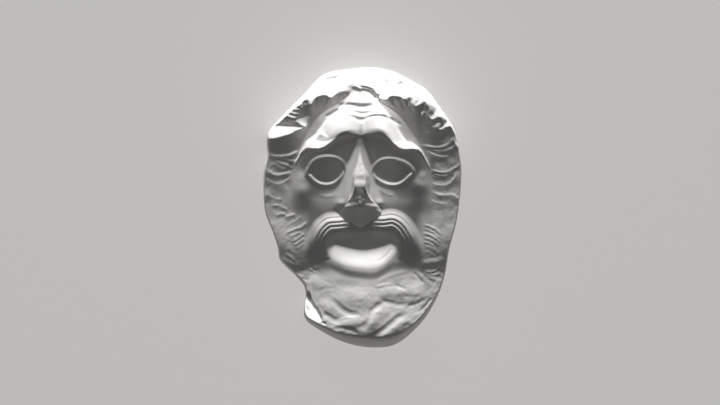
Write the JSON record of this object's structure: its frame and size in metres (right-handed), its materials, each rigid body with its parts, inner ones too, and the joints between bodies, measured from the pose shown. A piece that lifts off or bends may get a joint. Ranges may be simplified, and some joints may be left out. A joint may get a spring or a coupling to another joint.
{
  "type": "greek theatre mask",
  "caption": "Carved marble theatre mask of a bearded old man with raised brows and a gaping mouth, hollow behind, lying on its flat rim.",
  "frame": {"origin": "centre of the bounding box in the plane of the flat back rim", "axes": "+Z out of the face, +Y up the face from beard to hair, +X to the viewer's right across the face"},
  "size_m": [0.1994, 0.2822, 0.086],
  "materials": {
    "marble": "matte"
  },
  "bodies": {
    "root": {"theatre_mask": "marble"}
  },
  "joints": []
}
